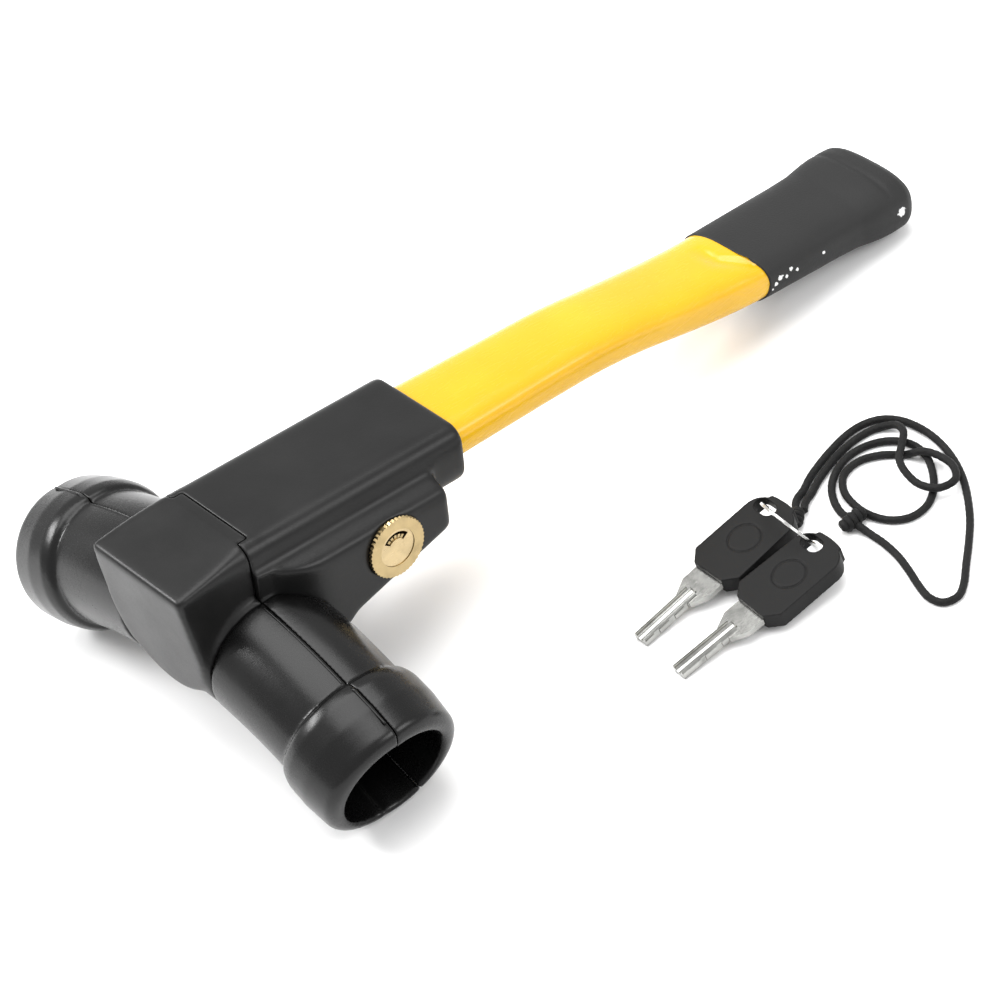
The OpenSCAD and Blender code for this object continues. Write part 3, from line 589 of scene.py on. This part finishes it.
def make_beads():
    edge_y = PART_Y - BEAD_INSET - 2 * BEAD_R
    for side, word in ((1, "right"), (-1, "left")):
        path = []
        reach = RIM_ARC + TUBE_R - BEAD_SINK
        for turn in np.linspace(BEAD_FROM, FLARE_FROM, 40):
            path.append((reach * math.sin(turn), edge_y, reach * math.cos(turn) - RIM_ARC))
        ahead = np.array([math.cos(FLARE_FROM), 0, -math.sin(FLARE_FROM)])
        out = np.array([math.sin(FLARE_FROM), 0, math.cos(FLARE_FROM)])
        start = RIM_ARC * out - np.array([0, 0, RIM_ARC]) + np.array([0, edge_y, 0])
        for run in np.linspace(FLARE_STEP, FLARE_LENGTH, 24):
            path.append(tuple(start + run * ahead + (FLARE_R - BEAD_SINK) * out))
        path = np.array(path) * (side, 1, 1)
        path = np.array([laid @ Vector(p) for p in path])
        path, _ = smooth_path(path, 0.0005)
        bead = tube(f"parting_bead_{word}", path, lambda angle, run: np.full_like(angle, BEAD_R), 10)
        finish_piece(bead, "sliding_jaw", "black_coat", arm_coat)


make_beads()


# Handle and grip ----------------------------------------------------------------------------

LOOP_POWER = 2.9
LOOP_SIDES = 200
# A CAD section counts when it has at least this many points
SECTION_POINTS = 24
# Sections of the shell with a smaller half thickness than this are left out
SHELL_LEAST_T = 7.5 * MM
# How far the shell is cut back at the body's end, and how far it runs on into the grip
SHELL_OVERLAP = 8 * MM
SHELL_FINE = 14 * MM
GRIP_FINE = 20 * MM
GRIP_ROUND = 5 * MM


def section_sizes(node):
    """Places along the handle, with each section's half width, half thickness and middle height."""
    points = np.array([unlaid @ v.co for v in nodes[node].data.vertices])
    places = np.round(points[:, 1], 5)
    found = []
    for place in np.unique(places):
        ring = points[places == place]
        if len(ring) >= SECTION_POINTS:
            found.append((place, (ring[:, 0].max() - ring[:, 0].min()) / 2,
                          (ring[:, 2].max() - ring[:, 2].min()) / 2,
                          (ring[:, 2].max() + ring[:, 2].min()) / 2))
    return np.array(found)


def smooth_columns(table, places):
    """The table's columns at new places, eased so that no section's corner shows."""
    fine = np.linspace(table[0, 0], table[-1, 0], 400)
    columns = []
    for k in range(1, table.shape[1]):
        line = np.interp(fine, table[:, 0], table[:, k])
        for _ in range(30):
            line[1:-1] = (line[:-2] + 2 * line[1:-1] + line[2:]) / 4
        columns.append(np.interp(places, fine, line))
    return np.stack(columns, axis=1)


def lofted(name, places, sizes, change):
    """Superellipse sections along the handle, closed at both ends and then changed in detail."""
    angle = np.linspace(0, 2 * math.pi, LOOP_SIDES, endpoint=False)
    c, s = np.cos(angle), np.sin(angle)
    unit_x = np.sign(c) * np.abs(c) ** (2 / LOOP_POWER)
    unit_z = np.sign(s) * np.abs(s) ** (2 / LOOP_POWER)
    grid = np.zeros((len(places), LOOP_SIDES, 3))
    grid[..., 0] = sizes[:, 0, None] * unit_x
    grid[..., 1] = places[:, None]
    grid[..., 2] = sizes[:, 2, None] + sizes[:, 1, None] * unit_z
    change(grid, unit_x, unit_z)
    vertices = np.array([laid @ Vector(p) for p in grid.reshape(-1, 3)])
    return add_mesh(name, vertices, grid_faces(len(places), LOOP_SIDES))


# A crease in the handle's top face, just short of the grip: points across and along, in mm
CREASE = ((-6, 221), (4.4, 221.2), (9.1, 225), (13.1, 229))
DENT_DEPTH = 1.15 * MM
DENT_STEEP = 1.7 * MM
DENT_SOFT = 4 * MM
DENT_FADE = 8 * MM
# How far the grip's edge stands beyond its CAD edge: across the top, then down the right side
EDGE_TOP = ((-1, 0), (-0.75, 1), (-0.5, 2), (0, 1.8), (0.4, 1.8), (0.7, 4), (0.95, 4.6), (1, 5.6))
EDGE_BOTTOM = ((-1, 0), (0.6, 0.6), (0.95, 4.2), (1, 5.6))
EDGE_SETTLE = 16 * MM
# A shallow crease across the top, where the grip swells to its pommel
POMMEL_CREASE = 290.5 * MM
POMMEL_WIDTH = 1.3 * MM
POMMEL_DEPTH = 0.45 * MM


def crease_distance(x, y):
    """Distance from each point to the crease, and on which side of it the point is."""
    best = np.full(x.shape, 1.0)
    beyond = np.zeros(x.shape)
    for (x0, y0), (x1, y1) in zip(CREASE, CREASE[1:]):
        run_x, run_y = (x1 - x0) * MM, (y1 - y0) * MM
        size = run_x**2 + run_y**2
        t = np.clip(((x - x0 * MM) * run_x + (y - y0 * MM) * run_y) / size, 0, 1)
        off_x, off_y = x - x0 * MM - t * run_x, y - y0 * MM - t * run_y
        distance = np.hypot(off_x, off_y)
        nearer = distance < best
        best = np.where(nearer, distance, best)
        beyond = np.where(nearer, run_x * off_y - run_y * off_x, beyond)
    return best, beyond > 0


def thumb_dent(grid, unit_x, unit_z):
    """Pinches the top face along the crease: a soft fall from the head's side, a steep one beyond."""
    distance, beyond = crease_distance(grid[..., 0], grid[..., 1])
    depth = np.exp(-(distance / np.where(beyond, DENT_STEEP, DENT_SOFT))**2)
    fade = np.clip(grid[..., 0] / DENT_FADE + 1, 0, 1)
    grid[..., 2] -= np.where(unit_z[None, :] > 0.2, DENT_DEPTH * depth * fade, 0)


def wavy_edge(grid, unit_x, unit_z):
    """The grip's first sections follow its moulded edge, then run on straight."""
    start = grid[0, 0, 1]
    settle = np.clip(1 - (grid[..., 1] - start) / EDGE_SETTLE, 0, 1) ** 2
    top = np.interp(unit_x, *np.array(EDGE_TOP).T)
    bottom = np.interp(unit_x, *np.array(EDGE_BOTTOM).T)
    grid[..., 1] += settle * MM * np.where(unit_z > 0, top, bottom)[None, :]
    ridge = np.exp(-((grid[..., 1] - POMMEL_CREASE) / POMMEL_WIDTH)**2)
    crown = np.clip(unit_z, 0, 1) ** 2
    grid[..., 2] -= POMMEL_DEPTH * ridge * crown[None, :]


def make_handle():
    table = section_sizes("handle_shell")
    table = table[table[:, 2] > SHELL_LEAST_T]
    fine_from = table[-1, 0] - SHELL_FINE
    places = np.concatenate([
        np.linspace(table[0, 0] + SHELL_OVERLAP, fine_from, 150, endpoint=False),
        np.linspace(fine_from, table[-1, 0] + SHELL_OVERLAP, 64)])
    handle = lofted("handle_moulding", places, smooth_columns(table, places), thumb_dent)
    finish_piece(handle, "lock_body", "handle_yellow", yellow, "handle_shell")


def make_grip():
    table = section_sizes("rubber_grip")
    start, end = table[0, 0], table[-1, 0]
    places = np.concatenate([
        np.linspace(start, start + GRIP_FINE, 40, endpoint=False),
        np.linspace(start + GRIP_FINE, end - GRIP_ROUND, 90, endpoint=False),
        end - GRIP_ROUND * np.cos(np.linspace(0, math.pi / 2, 12))[:-1],
        [end]])
    grip = lofted("grip_moulding", places, smooth_columns(table, places), wavy_edge)
    finish_piece(grip, "lock_body", "grip_rubber", grip_rubber, "rubber_grip")


make_handle()
make_grip()


# Keys and ring ------------------------------------------------------------------------------

KEY_VOXEL = 0.22 * MM
RING_INSET = 0.1 * MM


def make_keys():
    for number in (1, 2):
        node = f"key_{number}_head"
        head = moulded_copy(f"{node}_moulding", [node], KEY_VOXEL, 7, lambda p: np.ones(len(p)), False)
        finish_piece(head, f"key_{number}", "key_plastic", key_plastic, node)


def make_ring():
    """A split ring: two turns of wire side by side, in the torus's own plane."""
    points = np.array([v.co for v in nodes["key_ring"].data.vertices])
    middle = (points.max(0) + points.min(0)) / 2
    _, _, axes = np.linalg.svd(points - middle, full_matrices=False)
    first, second, normal = axes
    reach = np.linalg.norm(points - middle, axis=1).max()
    thick = np.abs((points - middle) @ normal).max()
    wire = thick / 2
    radius = reach - wire - RING_INSET
    t = np.linspace(0, 2, 361)[:, None]
    offset = (t - 1) * (thick - wire)
    path = (middle + radius * (np.cos(2 * math.pi * t) * first + np.sin(2 * math.pi * t) * second)
            + offset * normal)
    ring = tube("split_ring", path, lambda angle, run: np.full_like(angle, wire), 16)
    finish_piece(ring, "key_set", "ring_nickel", ring_nickel, "key_ring")


make_keys()
make_ring()


# CAD nodes that show as they are ------------------------------------------------------------

def bevel(node, width):
    made = nodes[node].modifiers.new("bevel", "BEVEL")
    made.width = width
    made.segments = 2
    made.limit_method = "ANGLE"
    made.angle_limit = math.radians(35)


CAD_FINISH = {
    "rim_pad_rear": pad_rubber, "rim_pad_front": pad_rubber, "rod_bushes": bronze,
    "lock_barrel": brass, "lock_plug": plug_brass, "lock_wafers": brass, "plug_cam": steel,
    "barrel_screw": dark_steel, "bolt_cap": dark_steel, "core_bar": steel, "handle_screws": dark_steel,
    "slide_rod_left": steel, "slide_rod_right": steel, "rod_pins": steel, "tie_plate": steel,
    "tie_screws": dark_steel, "locking_bolt": steel, "bolt_spring": steel,
    "key_1_blade": nickel, "key_2_blade": nickel}

for node, material in CAD_FINISH.items():
    data = nodes[node].data
    data.materials.clear()
    data.materials.append(material)

BEVEL_WIDTH = 0.12 * MM
for node in ("key_1_blade", "key_2_blade", "lock_barrel", "lock_plug"):
    bevel(node, BEVEL_WIDTH)


# Floor and light ----------------------------------------------------------------------------

FLOOR_HALF = 3.0


def make_floor():
    n = Nodes("pale_floor")
    base = n.mix(n.noise(6, 3), grey(0.86), grey(0.88))
    material = n.set(Base_Color=base, Roughness=0.75)
    corners = [(x * FLOOR_HALF, y * FLOOR_HALF, floor_z) for x, y in ((-1, -1), (1, -1), (1, 1), (-1, 1))]
    floor = add_mesh("floor", corners, [(0, 1, 2, 3)], smooth=False)
    floor.data.materials.append(material)


def area_light(name, place, aim, size, power):
    data = bpy.data.lights.new(name, "AREA")
    data.shape = "RECTANGLE"
    data.size, data.size_y = size
    data.energy = power
    obj = bpy.data.objects.new(name, data)
    scene.collection.objects.link(obj)
    obj.location = place
    obj.rotation_euler = (Vector(aim) - Vector(place)).to_track_quat("-Z", "Y").to_euler()


def make_light():
    """A pale studio: even light all round, a broad one above, one at the front left, one at the right."""
    world = bpy.data.worlds.new("studio")
    scene.world = world
    world.use_nodes = True
    back = world.node_tree.nodes["Background"]
    back.inputs["Color"].default_value = (1, 1, 1, 1)
    back.inputs["Strength"].default_value = 1.02
    middle = (0, 0.1, 0)
    area_light("top_light", (-0.3, 0.3, 1.9), middle, (1.8, 1.6), 46)
    area_light("front_left_light", (-1.15, -0.75, 1.15), middle, (0.7, 0.45), 26)
    area_light("right_light", (1.3, 0.9, 1.1), middle, (0.9, 0.7), 13)


make_floor()
make_light()
